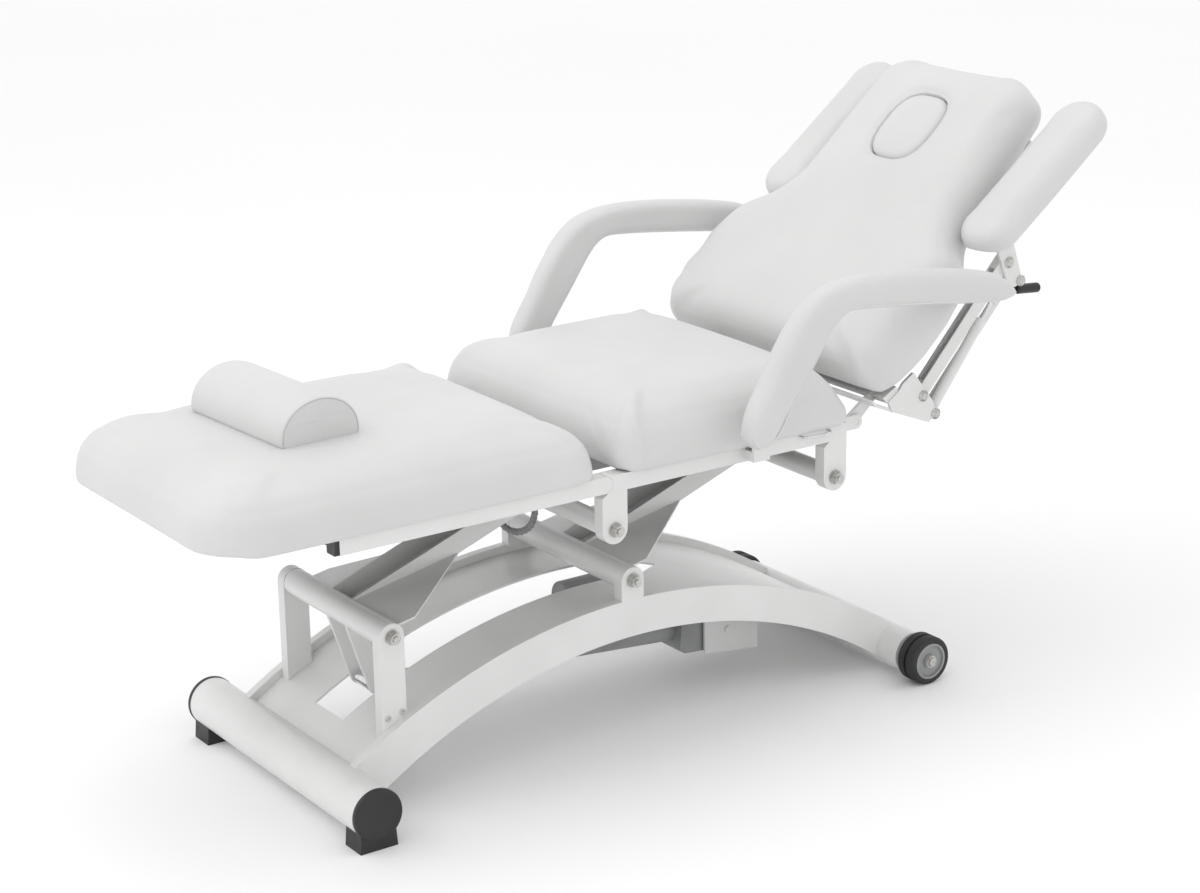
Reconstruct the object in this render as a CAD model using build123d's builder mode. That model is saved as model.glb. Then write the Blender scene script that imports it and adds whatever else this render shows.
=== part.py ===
from build123d import *
import os
from math import asin, cos, degrees, hypot, radians, sin, tan

# Facial treatment bed, in millimetres. +X points to the head end, +Z up, the floor is z = 0
# and -Y is the near side. Angles are in degrees. The lift stands part way up, the seat and
# the leg section are level, and the backrest is raised. The shapes are drawn about a point
# between the two base ends, and each is moved by middle_x as it is written, so that the
# finished bed's origin is on the floor under the middle of its box.

os.makedirs("parts", exist_ok=True)

# ---- driving dimensions ----
foot_tube_x, foot_tube_z, foot_tube_r = -650, 64, 45
foot_tube_half = 300
cap_outer_y = 310
axle_x, axle_z, axle_tube_r = 560, 47, 40
wheel_r, hub_r, wheel_outer_y, wheel_width = 47, 35, 311, 45
arch_x, arch_z = -50, -788
ridge_r, tray_r, sheet = 1067, 1052, 4
web_x, web_z, web_r = -40, -771, 980
beam_half, strip_width = 200, 17
slot_half, slot_front, slot_rear = 50, -570, 140
front_pivot, rear_pivot = (-540, 316), (-52.5, 315.5)
arm_angle, arm_length = 19.88, 413.1
upright_outer, lug_outer, upright_thick, upright_half = 183, 200, 25, 24.5
bracket_outer, bracket_thick, bracket_half = 290, 25, 26
pivot_tube_r, top_tube_r, bolt_r = 24, 19, 10
lever_length, lever_angle = 159, -71.7
motor_pivot = (270, 100)
rail_z_low, rail_z_high, rail_inner, rail_outer = 525, 555, 262, 290
leg_hinge, back_hinge = (-170, 540), (409, 540)
seat_rail_end, leg_rail_end = 362, -690
back_angle = 42
cushion_half, pad_corner = 310, 90
wing_low1, wing_low2 = (545, 572), (576, 532)
wing_up1, wing_up2 = (749.5, 795), (780.5, 755)
wing_y = 290
gap = 0.3
middle_x = 16.8


def side(y):
    """Sketch plane at y, facing the near side; its axes are X and Z."""
    return Plane.XZ.offset(-y)


def tilted(origin, angle, y=0):
    """Sketch plane at y whose first axis climbs from the origin at the angle."""
    direction = (cos(radians(angle)), 0, sin(radians(angle)))
    return Plane(origin=(origin[0], y, origin[1]), x_dir=direction, z_dir=(0, -1, 0))


def top_of(origin, angle, height=0):
    """Sketch plane whose first axis climbs at the angle and whose second axis is +Y."""
    rise = (-sin(radians(angle)), 0, cos(radians(angle)))
    centre = (origin[0] + rise[0] * height, 0, origin[1] + rise[2] * height)
    return Plane(origin=centre, x_dir=(cos(radians(angle)), 0, sin(radians(angle))), z_dir=rise)


def along(origin, angle, distance, across=0):
    """Point at a distance along a line that climbs at the angle, and a distance above it."""
    turn = radians(angle)
    return (
        origin[0] + distance * cos(turn) - across * sin(turn),
        origin[1] + distance * sin(turn) + across * cos(turn),
    )


def disc(centre, radius, y_high, length, mode=Mode.ADD):
    """Cylinder along Y that starts at y_high and runs towards the near side."""
    with BuildSketch(side(y_high)) as circle:
        with Locations(centre):
            Circle(radius)
    extrude(circle.sketch, amount=length, mode=mode)


def plate(points, y_high, length, corner=0, mode=Mode.ADD):
    """Side-view outline with rounded corners, made solid from y_high towards the near side."""
    with BuildSketch(side(y_high)) as outline:
        with BuildLine():
            Polyline(*points, close=True)
        make_face()
        if corner:
            fillet(outline.vertices(), corner)
    extrude(outline.sketch, amount=length, mode=mode)


def hexagon(centre, radius, y_high, length):
    """Hexagonal nut along Y."""
    with BuildSketch(side(y_high)) as shape:
        with Locations(centre):
            RegularPolygon(radius, 6)
    extrude(shape.sketch, amount=length)


def save(piece, label):
    """Move a finished piece so that the bed's middle is the origin, name it and write it."""
    placed = piece.part.moved(Location((-middle_x, 0, 0)))
    placed.label = label
    export_step(placed, f"parts/{label}.step")


def flipped(piece):
    """The same piece on the other side of the bed."""
    with BuildPart() as other:
        add(mirror(piece.part, about=Plane.XZ))
    return other


# ---- base ----
with BuildPart() as front_foot_tube:
    disc((foot_tube_x, foot_tube_z), foot_tube_r, foot_tube_half, 2 * foot_tube_half)
    disc((foot_tube_x, foot_tube_z), foot_tube_r - 3, foot_tube_half, 2 * foot_tube_half, Mode.SUBTRACT)
save(front_foot_tube, "front_foot_tube")

# The cap closes the tube's end and carries the saddle that stands on the floor.
saddle_half, saddle_length = 36, 52
with BuildPart() as foot_cap_right:
    disc((foot_tube_x, foot_tube_z), foot_tube_r + 1, -foot_tube_half, cap_outer_y - foot_tube_half)
    fillet(foot_cap_right.faces().sort_by(Axis.Y)[0].edges(), 4)
    disc((foot_tube_x, foot_tube_z), foot_tube_r - 3, -foot_tube_half + 18, 18)
    plate(
        [
            (foot_tube_x - saddle_half, 0),
            (foot_tube_x + saddle_half, 0),
            (foot_tube_x + saddle_half - 4, foot_tube_z - 14),
            (foot_tube_x - saddle_half + 4, foot_tube_z - 14),
        ],
        -cap_outer_y + 4 + saddle_length,
        saddle_length,
    )
    disc((foot_tube_x, foot_tube_z), foot_tube_r, -foot_tube_half + saddle_length, saddle_length, Mode.SUBTRACT)
    disc((foot_tube_x, foot_tube_z), foot_tube_r - 3, -foot_tube_half + 18, 19)
save(foot_cap_right, "foot_cap_right")
save(flipped(foot_cap_right), "foot_cap_left")


def beam_band(upper_r, lower_centre, lower_r, y_high, width):
    """Part of the arched beam between two arcs, trimmed where the two cross tubes run."""
    with BuildSketch(side(y_high)) as band:
        with Locations((arch_x, arch_z)):
            Circle(upper_r)
        with Locations(lower_centre):
            Circle(lower_r, mode=Mode.SUBTRACT)
        with BuildLine():
            Polyline(
                (foot_tube_x + 8, 64),
                (foot_tube_x + 8, 320),
                (axle_x - 8, 320),
                (axle_x - 8, 60),
                (axle_x - 36, 20),
                (foot_tube_x + 40, 20),
                close=True,
            )
        make_face(mode=Mode.INTERSECT)
        with Locations((foot_tube_x, foot_tube_z)):
            Circle(foot_tube_r, mode=Mode.SUBTRACT)
        with Locations((axle_x, axle_z)):
            Circle(axle_tube_r, mode=Mode.SUBTRACT)
    extrude(band.sketch, amount=width)


arch_centre = (arch_x, arch_z)
with BuildPart() as base_beam:
    beam_band(tray_r, arch_centre, tray_r - sheet, beam_half - strip_width, 2 * (beam_half - strip_width))
    for y_high in (beam_half, -beam_half + strip_width):
        beam_band(ridge_r, arch_centre, ridge_r - sheet, y_high, strip_width)
    for y_high in (beam_half, -beam_half + sheet):
        beam_band(ridge_r, (web_x, web_z), web_r, y_high, sheet)
    for y_high in (beam_half - strip_width + sheet, -beam_half + strip_width):
        beam_band(ridge_r, arch_centre, tray_r - sheet, y_high, sheet)
    with BuildSketch(Plane.XY.offset(60)) as slot:
        with BuildLine():
            Polyline(
                (slot_front, -slot_half),
                (slot_front, slot_half),
                (slot_rear - 70, slot_half),
                (slot_rear, 0),
                (slot_rear - 70, -slot_half),
                close=True,
            )
        make_face()
    extrude(slot.sketch, amount=260, mode=Mode.SUBTRACT)
save(base_beam, "base_beam")

axle_tube_half, washer = 255, 10.7
with BuildPart() as rear_axle_tube:
    disc((axle_x, axle_z), axle_tube_r, axle_tube_half, 2 * axle_tube_half)
    disc((axle_x, axle_z), axle_tube_r - 3, axle_tube_half - 12, 2 * axle_tube_half - 24, Mode.SUBTRACT)
    disc((axle_x, axle_z), 18, axle_tube_half + washer, washer)
    disc((axle_x, axle_z), 18, -axle_tube_half, washer)
    disc((axle_x, axle_z), 8, axle_tube_half + washer, 2 * (axle_tube_half + washer), Mode.SUBTRACT)
save(rear_axle_tube, "rear_axle_tube")


def post(centre, outer_y, floor_r):
    """Flat post on the beam with a round top about a pivot, on the near side."""
    with BuildPart() as piece:
        with BuildSketch(side(-outer_y + upright_thick)) as outline:
            with BuildLine():
                Polyline(
                    (centre[0] - upright_half, 60),
                    (centre[0] + upright_half, 60),
                    (centre[0] + upright_half, centre[1]),
                    (centre[0] - upright_half, centre[1]),
                    close=True,
                )
            make_face()
            with Locations(centre):
                Circle(upright_half)
                Circle(bolt_r, mode=Mode.SUBTRACT)
            with Locations(arch_centre):
                Circle(floor_r, mode=Mode.SUBTRACT)
        extrude(outline.sketch, amount=upright_thick)
        fillet(piece.faces().sort_by(Axis.Y)[0].edges().filter_by(GeomType.CIRCLE).sort_by(Axis.Z)[-1], 3)
    return piece


upright_right = post(front_pivot, upright_outer, tray_r)
save(upright_right, "upright_right")
save(flipped(upright_right), "upright_left")

lug = post(rear_pivot, lug_outer, ridge_r)
with BuildPart() as mid_lugs:
    add(lug.part)
    add(mirror(lug.part, about=Plane.XZ))
save(mid_lugs, "mid_lugs")

# Two hanging side plates hold the lift motor's rear pivot pin under the beam.
hanger_y, hanger_thick = 52, 5
hanger_front, hanger_rear, hanger_leg, hanger_low = 217, 343, 22, 62
with BuildPart() as motor_hanger:
    for y_high in (hanger_y, -hanger_y + hanger_thick):
        with BuildSketch(side(y_high)) as outline:
            with BuildLine():
                Polyline(
                    (hanger_front, hanger_low),
                    (hanger_rear, hanger_low - 16),
                    (hanger_rear, 300),
                    (hanger_front, 300),
                    close=True,
                )
            make_face()
            with BuildLine():
                Polyline(
                    (hanger_front + hanger_leg, 128),
                    (hanger_rear - hanger_leg, 128),
                    (hanger_rear - hanger_leg, 300),
                    (hanger_front + hanger_leg, 300),
                    close=True,
                )
            make_face(mode=Mode.SUBTRACT)
            with Locations(arch_centre):
                Circle(tray_r - sheet, mode=Mode.INTERSECT)
        extrude(outline.sketch, amount=hanger_thick)
    disc(motor_pivot, 7, hanger_y + 4, 2 * hanger_y + 8)
save(motor_hanger, "motor_hanger")

unit_x0, unit_x1, unit_z, unit_r = -72, 44, 222, 32
with BuildPart() as power_unit:
    with BuildSketch(Plane.YZ.offset(unit_x0)) as section:
        with Locations((8, unit_z)):
            Circle(unit_r)
    extrude(section.sketch, amount=unit_x1 - unit_x0)
    fillet(power_unit.edges().filter_by(GeomType.CIRCLE), 4)
    for x in (unit_x0 + 34, unit_x1 - 10):
        with BuildSketch(Plane.YZ.offset(x)) as strap:
            with Locations((0, 218)):
                Rectangle(2 * slot_half + 20, 26)
        extrude(strap.sketch, amount=5)
save(power_unit, "power_unit")


def bolt(centre, outer_y, shaft_end_y, radius):
    """Pivot bolt on the near side: washer, hexagonal lock nut, collar and shaft."""
    disc(centre, radius + 4, -outer_y, 2)
    hexagon(centre, radius + 2, -outer_y - 2, 8)
    disc(centre, radius, -outer_y - 10, 4)
    disc(centre, radius - 4, -outer_y - 14, 3)
    disc(centre, radius - 0.04, -shaft_end_y, outer_y - shaft_end_y)


with BuildPart() as base_pivot_bolts:
    bolt(front_pivot, upright_outer, 130, bolt_r)
    bolt(rear_pivot, lug_outer, 147, bolt_r)
    disc((axle_x, axle_z), 7.95, -244, wheel_outer_y - 244)
    disc((axle_x, axle_z), 12, -wheel_outer_y, 2)
    hexagon((axle_x, axle_z), 9, -wheel_outer_y - 2, 5)
    mirror(about=Plane.XZ)
save(base_pivot_bolts, "base_pivot_bolts")

# ---- wheels ----
wheel_inner_y = wheel_outer_y - wheel_width
with BuildPart() as tyre_right:
    disc((axle_x, axle_z), wheel_r, -wheel_inner_y, wheel_width)
    disc((axle_x, axle_z), hub_r, -wheel_inner_y, wheel_width, Mode.SUBTRACT)
    rims = tyre_right.edges().filter_by(GeomType.CIRCLE).filter_by(lambda edge: edge.radius > wheel_r - 1)
    fillet(rims, 6)
    with BuildSketch(side(-wheel_inner_y - wheel_width / 2 + 3)) as groove:
        with Locations((axle_x, axle_z)):
            Circle(wheel_r + 1)
            Circle(wheel_r - 4, mode=Mode.SUBTRACT)
    extrude(groove.sketch, amount=6, mode=Mode.SUBTRACT)
save(tyre_right, "tyre_right")
save(flipped(tyre_right), "tyre_left")

with BuildPart() as wheel_hub_right:
    disc((axle_x, axle_z), hub_r, -wheel_inner_y, wheel_width)
    for y_high in (-wheel_outer_y + 5, -wheel_inner_y):
        with BuildSketch(side(y_high)) as recess:
            with Locations((axle_x, axle_z)):
                Circle(hub_r - 4)
                Circle(14, mode=Mode.SUBTRACT)
        extrude(recess.sketch, amount=5, mode=Mode.SUBTRACT)
    disc((axle_x, axle_z), 8, -wheel_inner_y, wheel_width, Mode.SUBTRACT)
save(wheel_hub_right, "wheel_hub_right")
save(flipped(wheel_hub_right), "wheel_hub_left")

# ---- lifting arms ----
channel_half, channel_depth, kink, tulip = 38, 19, 230, 150
front_tube_half, rear_tube_half, tube_half_top = 157, 174, 264


def arm_channel(pivot):
    """Pressed channel from the lower pivot tube to the top tube, with two flared gussets."""
    frame_plane = tilted(pivot, arm_angle)
    with BuildPart() as piece:
        with BuildSketch(tilted(pivot, arm_angle, channel_half)) as block:
            with Locations((arm_length / 2, 0)):
                Rectangle(arm_length, 2 * channel_depth)
        extrude(block.sketch, amount=2 * channel_half)
        with BuildSketch(tilted(pivot, arm_angle, channel_half - sheet)) as hollow:
            with Locations((arm_length / 2, sheet)):
                Rectangle(arm_length, 2 * channel_depth)
        extrude(hollow.sketch, amount=2 * (channel_half - sheet), mode=Mode.SUBTRACT)
        for way in (1, -1):
            corners = [
                frame_plane.from_local_coords(Vector(s, n, -way * y))
                for s, n, y in (
                    (kink, -channel_depth, channel_half),
                    (12, 16, channel_half),
                    (12, -3.9, tulip),
                    (65, -12, tulip),
                )
            ]
            normal = (corners[1] - corners[0]).cross(corners[3] - corners[0])
            skin = Plane(origin=corners[0], x_dir=corners[1] - corners[0], z_dir=normal)
            with BuildSketch(skin) as gusset:
                with BuildLine():
                    flat = [skin.to_local_coords(corner) for corner in corners]
                    Polyline(*[(point.X, point.Y) for point in flat], close=True)
                make_face()
            extrude(gusset.sketch, amount=sheet / 2, both=True)
        disc(pivot, pivot_tube_r, 200, 400, Mode.SUBTRACT)
        disc(along(pivot, arm_angle, arm_length), top_tube_r, 200, 400, Mode.SUBTRACT)
    return piece


def cross_tube(centre, radius, half, collar):
    """Pivot tube with bored ends and a thin sleeve round its middle."""
    disc(centre, radius, half, 2 * half)
    disc(centre, radius - 4, half - 34, 2 * half - 68, Mode.SUBTRACT)
    disc(centre, bolt_r + 0.03, half, 2 * half, Mode.SUBTRACT)
    if collar:
        disc(centre, radius + 1, collar, 2 * collar)
        disc(centre, radius - 4, collar, 2 * collar, Mode.SUBTRACT)


front_arm_channel = arm_channel(front_pivot)
save(front_arm_channel, "front_arm_channel")
rear_arm_channel = arm_channel(rear_pivot)
save(rear_arm_channel, "rear_arm_channel")

# The front pivot tube carries the pair of levers that the lift rod pulls.
lever_pin = along(front_pivot, lever_angle, lever_length)
with BuildPart() as front_pivot_tube:
    cross_tube(front_pivot, pivot_tube_r, front_tube_half, 0)
    for y_high in (36, -28):
        with BuildSketch(tilted(front_pivot, lever_angle, y_high)) as lever:
            with BuildLine():
                Polyline((0, 14), (lever_length, 15), (lever_length, -15), (0, -14), close=True)
            make_face()
            with Locations((lever_length, 0)):
                Circle(15)
            Circle(pivot_tube_r, mode=Mode.SUBTRACT)
        extrude(lever.sketch, amount=8)
    disc(lever_pin, 6, 40, 80)
save(front_pivot_tube, "front_pivot_tube")

with BuildPart() as rear_pivot_tube:
    cross_tube(rear_pivot, pivot_tube_r, rear_tube_half, 0)
save(rear_pivot_tube, "rear_pivot_tube")

for pivot, label in ((front_pivot, "front_top_tube"), (rear_pivot, "rear_top_tube")):
    with BuildPart() as top_tube:
        cross_tube(along(pivot, arm_angle, arm_length), top_tube_r, tube_half_top, 0)
    save(top_tube, label)

# ---- supply cable: a limp spiral-wrapped lead, slung in a loop under the front top tube ----
cable_r = 6.5
cable_route = [
    (-125.5, 42, 456),
    (-105, 44, 420),
    (-95, 48, 383),
    (-101, 62, 349),
    (-115, 92, 335),
    (-128, 123, 349),
    (-135, 140, 387),
    (-129, 146, 425),
    (-125.5, 148, 456),
]


def cord_radii(points):
    """Bend radius at each inner point: 0.45 of the shorter run over the tangent of half the turn."""
    radii = []
    for before, here, after in zip(points, points[1:], points[2:]):
        run_in = Vector(*here) - Vector(*before)
        run_out = Vector(*after) - Vector(*here)
        turn = radians(run_in.get_angle(run_out))
        radii.append(0.45 * min(run_in.length, run_out.length) / tan(turn / 2))
    return radii


def cord(points, radius):
    """Round cord along straight runs joined by tangent arcs."""
    bends = cord_radii(points)
    print("bend radii", [round(bend, 1) for bend in bends])
    with BuildPart() as piece:
        with BuildLine() as path:
            FilletPolyline(*points, radius=bends)
        with BuildSketch(Plane(origin=path.line @ 0, z_dir=path.line % 0)) as section:
            Circle(radius)
        sweep(section.sketch, path=path.line)
        length = sum(edge.length for edge in path.edges())
    ideal = section.sketch.area * length
    print("cord length", round(length), "volume against section", round(piece.part.volume / ideal, 4))
    return piece


supply_cable = cord(cable_route, cable_r)
save(supply_cable, "supply_cable")

# ---- lift motor ----
rise = lever_pin[1] - motor_pivot[1]
run = motor_pivot[0] - lever_pin[0]
lift_angle = 180 - degrees(asin(rise / hypot(rise, run)))
lift_tube_r, lift_tube_bore, lift_rod_r, lift_rod_length = 23, 18.5, 10, 400
with BuildPart() as lift_motor_unit:
    with BuildSketch(tilted(motor_pivot, lift_angle, 42)) as gearbox:
        with Locations((52, 0)):
            Rectangle(100, 78)
        fillet(gearbox.vertices(), 14)
        with Locations((0, 0)):
            Circle(20)
    extrude(gearbox.sketch, amount=84)
    across = Plane(
        origin=(*along(motor_pivot, lift_angle, 100)[:1], 0, along(motor_pivot, lift_angle, 100)[1]),
        x_dir=(0, 1, 0),
        z_dir=(cos(radians(lift_angle)), 0, sin(radians(lift_angle))),
    )
    with BuildSketch(across) as barrel:
        Circle(lift_tube_r)
    extrude(barrel.sketch, amount=320)
    with BuildSketch(across.offset(20)) as bore:
        Circle(lift_tube_bore)
    extrude(bore.sketch, amount=300, mode=Mode.SUBTRACT)
    disc(motor_pivot, 7.05, 60, 120, Mode.SUBTRACT)
save(lift_motor_unit, "lift_motor_unit")

rod_start = along(lever_pin, lift_angle + 180, 14)
with BuildPart() as lift_rod:
    disc(lever_pin, 14, 20, 40)
    rod_plane = Plane(
        origin=(rod_start[0], 0, rod_start[1]),
        z_dir=(-cos(radians(lift_angle)), 0, -sin(radians(lift_angle))),
    )
    with BuildSketch(rod_plane.offset(-6)) as section:
        Circle(lift_rod_r)
    extrude(section.sketch, amount=lift_rod_length)
    disc(lever_pin, 6.05, 21, 42, Mode.SUBTRACT)
save(lift_rod, "lift_rod")

# ---- seat frame ----
front_top = along(front_pivot, arm_angle, arm_length)
rear_top = along(rear_pivot, arm_angle, arm_length)
rail_height = rail_z_high - rail_z_low
rail_mid = (rail_z_high + rail_z_low) / 2
knuckle = rail_height / 2

with BuildPart() as seat_rail_right:
    plate(
        [
            (leg_hinge[0], rail_z_low),
            (seat_rail_end, rail_z_low),
            (seat_rail_end, rail_z_high),
            (leg_hinge[0] + 14, rail_z_high),
            (leg_hinge[0] + 2, rail_z_high - 6),
        ],
        -rail_inner,
        rail_outer - rail_inner,
    )
    disc(leg_hinge, knuckle + gap, -rail_inner, rail_outer - rail_inner, Mode.SUBTRACT)
    # Hinge tabs stand inboard of the rail at both ends.
    for hinge, x_end in ((leg_hinge, -110), (back_hinge, 330)):
        plate(
            [(hinge[0], rail_mid - 13), (x_end, rail_mid - 13), (x_end, rail_mid + 13), (hinge[0], rail_mid + 13)],
            -rail_inner + 7,
            7,
        )
        disc(hinge, 13, -rail_inner + 7, 7)
    # The armrest's post stands outside the cushion, on a stub.
    plate([(128, 530), (164, 530), (164, 548), (128, 548)], -rail_outer, 22)
    plate([(128, 530), (164, 530), (164, 640), (128, 640)], -rail_outer - 22, 6)
    disc(leg_hinge, 6, -rail_inner, 22)
    disc(back_hinge, 6.05, -rail_inner + 8, 10, Mode.SUBTRACT)
save(seat_rail_right, "seat_rail_right")
save(flipped(seat_rail_right), "seat_rail_left")


def bracket(centre):
    """Pivot bracket under a seat rail, on the near side, with a round end and a cut top corner."""
    with BuildSketch(side(-bracket_outer + bracket_thick)) as outline:
        with BuildLine():
            Polyline(
                (centre[0] - bracket_half, centre[1]),
                (centre[0] + bracket_half, centre[1]),
                (centre[0] + bracket_half, rail_z_low),
                (centre[0] - bracket_half + 12, rail_z_low),
                (centre[0] - bracket_half, rail_z_low - 10),
                close=True,
            )
        make_face()
        with Locations(centre):
            Circle(bracket_half)
            Circle(bolt_r, mode=Mode.SUBTRACT)
    extrude(outline.sketch, amount=bracket_thick)


with BuildPart() as seat_brackets:
    bracket(front_top)
    bracket(rear_top)
    mirror(about=Plane.XZ)
save(seat_brackets, "seat_brackets")

with BuildPart() as seat_pivot_bolts:
    bolt(front_top, bracket_outer, 236, bolt_r)
    bolt(rear_top, bracket_outer, 236, bolt_r)
    mirror(about=Plane.XZ)
save(seat_pivot_bolts, "seat_pivot_bolts")

pan_thick, pan_half = 11, 254.5
with BuildPart() as seat_pan:
    with BuildSketch(Plane.XY.offset(rail_z_high - pan_thick)) as board:
        with Locations((112, 0)):
            Rectangle(430, 2 * pan_half)
        fillet(board.vertices(), 20)
    extrude(board.sketch, amount=pan_thick)
    for x in (-60, 250):
        with BuildSketch(Plane.XY.offset(rail_z_low)) as bar:
            with Locations((x, 0)):
                Rectangle(30, 2 * pan_half)
        extrude(bar.sketch, amount=rail_z_high - pan_thick - rail_z_low)
save(seat_pan, "seat_pan")

cushion_low = rail_z_high + 1
with BuildPart() as seat_cushion:
    with BuildSketch(side(cushion_half)) as outline:
        with BuildLine():
            Polyline(
                (-136, cushion_low),
                (372, cushion_low),
                (343, 582),
                (310, 622),
                (306, 668),
                (-104, 668),
                (-136, 628),
                close=True,
            )
        make_face()
        fillet(outline.vertices().group_by(Axis.Y)[-1], 14)
    extrude(outline.sketch, amount=2 * cushion_half)
save(seat_cushion, "seat_cushion")

# ---- leg section ----
with BuildPart() as leg_rail_right:
    plate(
        [
            (leg_rail_end, rail_z_low),
            (leg_hinge[0], rail_z_low),
            (leg_hinge[0], rail_z_high),
            (leg_rail_end, rail_z_high),
        ],
        -rail_inner,
        rail_outer - rail_inner,
    )
    disc(leg_hinge, knuckle, -rail_inner, rail_outer - rail_inner)
    disc(leg_hinge, 6.05, -rail_inner, 23, Mode.SUBTRACT)
save(leg_rail_right, "leg_rail_right")
save(flipped(leg_rail_right), "leg_rail_left")

with BuildPart() as leg_rail_caps:
    with BuildSketch(Plane.YZ.offset(leg_rail_end)) as cap:
        with Locations((-(rail_inner + rail_outer) / 2, rail_mid)):
            Rectangle(rail_outer - rail_inner, rail_height)
        fillet(cap.vertices(), 3)
    extrude(cap.sketch, amount=-9)
    mirror(about=Plane.XZ)
save(leg_rail_caps, "leg_rail_caps")

# The cross bar carries the lever that the leg motor's rod pushes.
leg_pin = (leg_hinge[0] - 6, leg_hinge[1] - 48)
leg_rod_z = leg_hinge[1] - 43.5
with BuildPart() as leg_pan:
    with BuildSketch(Plane.XY.offset(rail_z_high - pan_thick - 6)) as board:
        with Locations((-460, 0)):
            Rectangle(480, 2 * rail_inner)
    extrude(board.sketch, amount=pan_thick)
    for x in (-640, -240):
        with BuildSketch(Plane.XY.offset(rail_z_low)) as bar:
            with Locations((x, 0)):
                Rectangle(30, 2 * rail_inner)
        extrude(bar.sketch, amount=rail_z_high - pan_thick - 6 - rail_z_low)
    for y_high in (24, -16):
        plate(
            [(-255, rail_z_low + 4), (-225, rail_z_low + 4), (leg_pin[0] + 12, leg_pin[1] + 2),
             (leg_pin[0] + 8, leg_pin[1] - 12), (leg_pin[0] - 10, leg_pin[1] - 12)],
            y_high,
            8,
            4,
        )
    disc(leg_pin, 5, 24, 48)
save(leg_pan, "leg_pan")

with BuildPart() as leg_cushion:
    with BuildSketch(side(cushion_half)) as outline:
        with BuildLine():
            Polyline(
                (-918, cushion_low),
                (-200, cushion_low),
                (-200, 606),
                (-228, 652),
                (-918, 652),
                (-930, 620),
                close=True,
            )
        make_face()
    extrude(outline.sketch, amount=2 * cushion_half)
    foot_corners = leg_cushion.edges().filter_by(Axis.Z)
    with BuildSketch(Plane.XY.offset(cushion_low)) as plan:
        with Locations((-930 + 380, 0)):
            RectangleRounded(760, 2 * cushion_half, pad_corner)
        with Locations((-300, 0)):
            Rectangle(260, 2 * cushion_half)
    extrude(plan.sketch, amount=120, mode=Mode.INTERSECT)
save(leg_cushion, "leg_cushion")


def push_motor(tail, length, direction, bore_r=11):
    """Level motor with a gearbox at its tail and a bored barrel towards the rod."""
    x_low = min(tail[0], tail[0] + direction * 90)
    with BuildSketch(side(32)) as gearbox:
        with Locations((x_low + 45, tail[1])):
            Rectangle(90, 50)
        fillet(gearbox.vertices(), 10)
    extrude(gearbox.sketch, amount=64)
    with BuildSketch(Plane.YZ.offset(tail[0] + direction * 90)) as barrel:
        with Locations((0, tail[1])):
            Circle(17)
    extrude(barrel.sketch, amount=direction * length)
    with BuildSketch(Plane.YZ.offset(tail[0] + direction * 95)) as bore:
        with Locations((0, tail[1])):
            Circle(bore_r)
    extrude(bore.sketch, amount=direction * (length - 5), mode=Mode.SUBTRACT)
    hanger_z = tail[1] + 24
    with BuildSketch(Plane.XY.offset(hanger_z)) as hanger:
        with Locations((x_low + 45, 0)):
            Rectangle(30, 40)
    extrude(hanger.sketch, amount=rail_z_high - pan_thick - hanger_z)


def push_rod(x, z, length, direction, slot_height):
    """Level rod whose end plate has a tall slot for the lever's pin."""
    with BuildSketch(side(12)) as eye:
        with Locations((x, z)):
            Rectangle(26, slot_height + 2 * pin_slot_r + 8)
            SlotCenterToCenter(slot_height, 2 * pin_slot_r, rotation=90, mode=Mode.SUBTRACT)
    extrude(eye.sketch, amount=24)
    with BuildSketch(Plane.YZ.offset(x + direction * 12.5)) as section:
        with Locations((0, z)):
            Circle(8)
    extrude(section.sketch, amount=direction * length)


pin_slot_r = 6.8
leg_motor_tail = (60, leg_rod_z)
with BuildPart() as leg_motor_unit:
    push_motor(leg_motor_tail, 120, -1)
save(leg_motor_unit, "leg_motor_unit")

with BuildPart() as leg_rod:
    push_rod(leg_pin[0], leg_rod_z, 110, 1, 11)
save(leg_rod, "leg_rod")

# ---- backrest ----
back_pin = (back_hinge[0] + 7.3, back_hinge[1] - 59.6)
pad_start, pad_end, pad_low, pad_high = 31, 756, 16, 126
half_widths = [(31, 296), (70, 322), (141, 338), (241, 338), (331, 318), (376, 260), (431, 229), (531, 224),
               (641, 205), (756, 184)]
hole_s, hole_half_s, hole_half_y, edge_inset = 568, 84, 72, 38


def back_plan(height, inset, hole_margin):
    """Sketch of the backrest's outline with its face hole, at a height above the hinge line."""
    points = [(s + (inset if s < 50 else 0) - (inset if s > 750 else 0), y - inset) for s, y in half_widths]
    with BuildSketch(top_of(back_hinge, back_angle, height)) as plan:
        with BuildLine():
            Polyline(*points, *[(s, -y) for s, y in reversed(points)], close=True)
        make_face()
        fillet(plan.vertices().sort_by(Axis.X)[-2:], pad_corner - inset)
        with Locations((hole_s, 0)):
            Ellipse(hole_half_s + hole_margin, hole_half_y + hole_margin, mode=Mode.SUBTRACT)
    return plan


with BuildPart() as back_cushion:
    # The underside is drawn in all round, as a soft pad's lower edge is.
    extrude(back_plan(pad_low, edge_inset, 0).sketch, amount=40)
    extrude(back_plan(pad_low + 40, 0, 0).sketch, amount=pad_high - pad_low - 40)
    with BuildSketch(tilted(back_hinge, back_angle, 400)) as lower_end:
        with BuildLine():
            Polyline((20, 10), (74, 10), (31, 48), (31, 92), (60, 130), (20, 130), close=True)
        make_face()
    extrude(lower_end.sketch, amount=800, mode=Mode.SUBTRACT)
save(back_cushion, "back_cushion")

with BuildPart() as face_plug:
    with BuildSketch(top_of(back_hinge, back_angle, pad_low + 30)) as oval:
        with Locations((hole_s, 0)):
            Ellipse(hole_half_s - 1.5, hole_half_y - 1.5)
    extrude(oval.sketch, amount=pad_high - pad_low - 30)
save(face_plug, "face_plug")

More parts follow.
